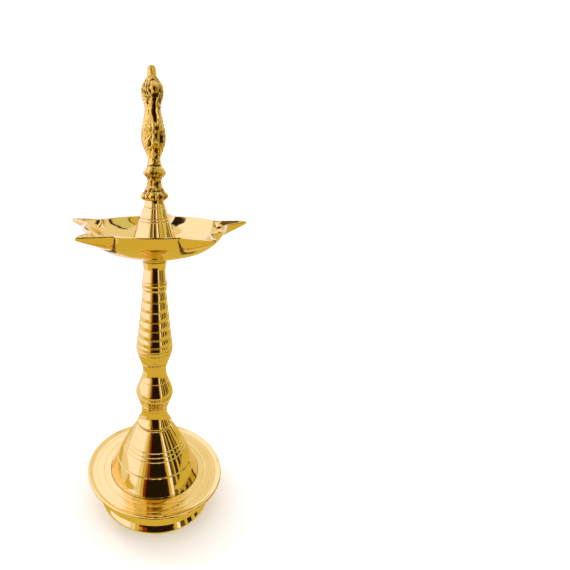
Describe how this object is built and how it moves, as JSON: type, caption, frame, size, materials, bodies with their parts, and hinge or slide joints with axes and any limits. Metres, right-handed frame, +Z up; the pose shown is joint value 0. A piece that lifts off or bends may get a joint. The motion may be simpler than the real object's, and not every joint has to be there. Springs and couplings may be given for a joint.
{
  "type": "standing oil lamp",
  "caption": "Turned brass standing oil lamp: tray foot, bell, screwed stem, spouted wick dish, cone and bird finial.",
  "frame": {"origin": "centre of the bounding box on the surface the lamp stands on; the lamp's own axis stands at x = -2.71 mm, y = -5.40 mm", "axes": "+Z up along the lamp's axis; the bird looks towards -Y; spouts at 12, 84, 156, 228 and 300 degrees from +X"},
  "size_m": [0.159, 0.1562, 0.406],
  "materials": {
    "polished_brass": "mirror polished, turned",
    "satin_brass": "satin, with fine turning lines",
    "cast_brass": "cast, lightly polished, dark in the recesses",
    "thread_brass": "machined thread"
  },
  "bodies": {
    "base": {"base_tray": "satin_brass", "bell": "polished_brass"},
    "bell_screw": {"bell_stud": "thread_brass"},
    "knop": {"knop": "polished_brass"},
    "knop_screw": {"knop_stud": "thread_brass"},
    "upper_stem": {"upper_stem": "polished_brass"},
    "stem_screw": {"stem_stud": "thread_brass"},
    "dish": {"dish": "polished_brass"},
    "dish_screw": {"dish_stud": "thread_brass"},
    "cone": {"cone": "polished_brass"},
    "finial_screw": {"finial_stud": "thread_brass"},
    "finial": {"bird_finial": "cast_brass"}
  },
  "joints": [
    {"name": "bell_screw_turn", "type": "hinge", "parent": "base", "child": "bell_screw", "pos_m": [-0.00271, -0.0054, 0.1108], "axis": [0, 0, 1], "range_deg": [0, 2880]},
    {"name": "knop_lift", "type": "slide", "parent": "bell_screw", "child": "knop", "axis": [0, 0, 1], "range_m": [0, 0.012]},
    {"name": "knop_screw_turn", "type": "hinge", "parent": "knop", "child": "knop_screw", "pos_m": [-0.00271, -0.0054, 0.1556], "axis": [0, 0, 1], "range_deg": [0, 2880]},
    {"name": "upper_stem_lift", "type": "slide", "parent": "knop_screw", "child": "upper_stem", "axis": [0, 0, 1], "range_m": [0, 0.012]},
    {"name": "stem_screw_turn", "type": "hinge", "parent": "upper_stem", "child": "stem_screw", "pos_m": [-0.00271, -0.0054, 0.2541], "axis": [0, 0, 1], "range_deg": [0, 1800]},
    {"name": "dish_lift", "type": "slide", "parent": "stem_screw", "child": "dish", "axis": [0, 0, 1], "range_m": [0, 0.0075]},
    {"name": "dish_screw_turn", "type": "hinge", "parent": "dish", "child": "dish_screw", "pos_m": [-0.00271, -0.0054, 0.271], "axis": [0, 0, 1], "range_deg": [0, 2880]},
    {"name": "cone_lift", "type": "slide", "parent": "dish_screw", "child": "cone", "axis": [0, 0, 1], "range_m": [0, 0.012]},
    {"name": "finial_screw_turn", "type": "hinge", "parent": "cone", "child": "finial_screw", "pos_m": [-0.00271, -0.0054, 0.3063], "axis": [0, 0, 1], "range_deg": [0, 2160]},
    {"name": "finial_lift", "type": "slide", "parent": "finial_screw", "child": "finial", "axis": [0, 0, 1], "range_m": [0, 0.009]}
  ],
  "couplings": [
    {"joint": "bell_screw_turn", "follows": "knop_lift", "rad_per_m": 4188},
    {"joint": "knop_screw_turn", "follows": "upper_stem_lift", "rad_per_m": 4188},
    {"joint": "stem_screw_turn", "follows": "dish_lift", "rad_per_m": 4188},
    {"joint": "dish_screw_turn", "follows": "cone_lift", "rad_per_m": 4188},
    {"joint": "finial_screw_turn", "follows": "finial_lift", "rad_per_m": 4188}
  ]
}
